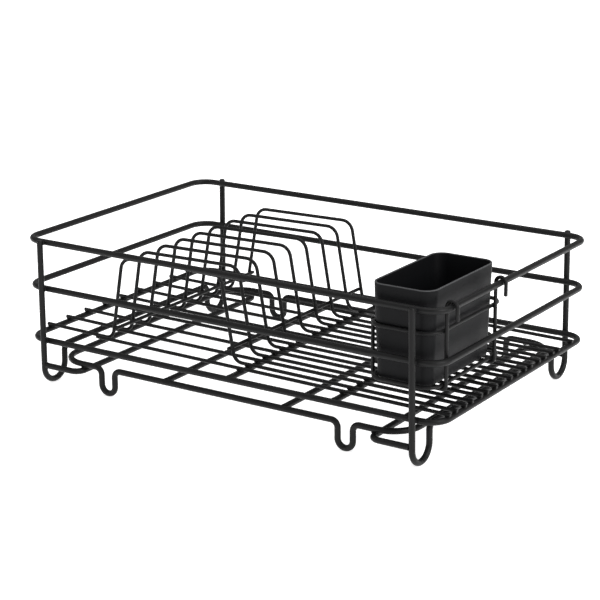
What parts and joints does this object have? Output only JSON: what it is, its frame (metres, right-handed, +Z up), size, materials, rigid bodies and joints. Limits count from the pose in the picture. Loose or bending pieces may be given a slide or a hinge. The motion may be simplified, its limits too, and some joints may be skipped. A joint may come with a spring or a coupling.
{
  "type": "dish drying rack",
  "caption": "Coated wire dish drying rack with upright plate hoops, open side bays, wire feet and a lift-out cutlery cup on a wire holder hooked over the right rim.",
  "frame": {"origin": "middle of the basket on the table it stands on", "axes": "+X along the rack towards the cutlery cup, +Y to the back, +Z up"},
  "size_m": [0.4289, 0.2784, 0.1453],
  "materials": {
    "wire_coat": "satin black powder coat on steel wire",
    "cup_plastic": "matte black moulded plastic"
  },
  "bodies": {
    "basket": {"base_rail_left": "wire_coat", "base_rail_right": "wire_coat", "base_ring": "wire_coat", "end_frame_left": "wire_coat", "end_frame_right": "wire_coat", "floor_rail_centre": "wire_coat", "floor_rail_right": "wire_coat", "floor_wire_1": "wire_coat", "floor_wire_2": "wire_coat", "floor_wire_3": "wire_coat", "floor_wire_4": "wire_coat", "floor_wire_5": "wire_coat", "floor_wire_6": "wire_coat", "floor_wire_7": "wire_coat", "floor_wire_8": "wire_coat", "hoop_tie_left": "wire_coat", "hoop_tie_right": "wire_coat", "plate_hoop_1": "wire_coat", "plate_hoop_2": "wire_coat", "plate_hoop_3": "wire_coat", "plate_hoop_4": "wire_coat", "plate_hoop_5": "wire_coat", "plate_hoop_6": "wire_coat", "plate_hoop_7": "wire_coat", "plate_hoop_8": "wire_coat", "plate_hoop_9": "wire_coat", "ring_lower": "wire_coat", "ring_middle": "wire_coat", "ring_top": "wire_coat", "stretcher_left": "wire_coat", "stretcher_right": "wire_coat"},
    "holder": {"holder_base": "wire_coat", "holder_hoop": "wire_coat", "holder_hook_back": "wire_coat", "holder_hook_front": "wire_coat"},
    "cup": {"cutlery_cup": "cup_plastic"}
  },
  "joints": [
    {"name": "holder_lift", "type": "slide", "parent": "basket", "child": "holder", "axis": [0, 0, 1], "range_m": [0, 0.08]},
    {"name": "cup_lift", "type": "slide", "parent": "holder", "child": "cup", "axis": [0, 0, 1], "range_m": [0, 0.08]}
  ]
}
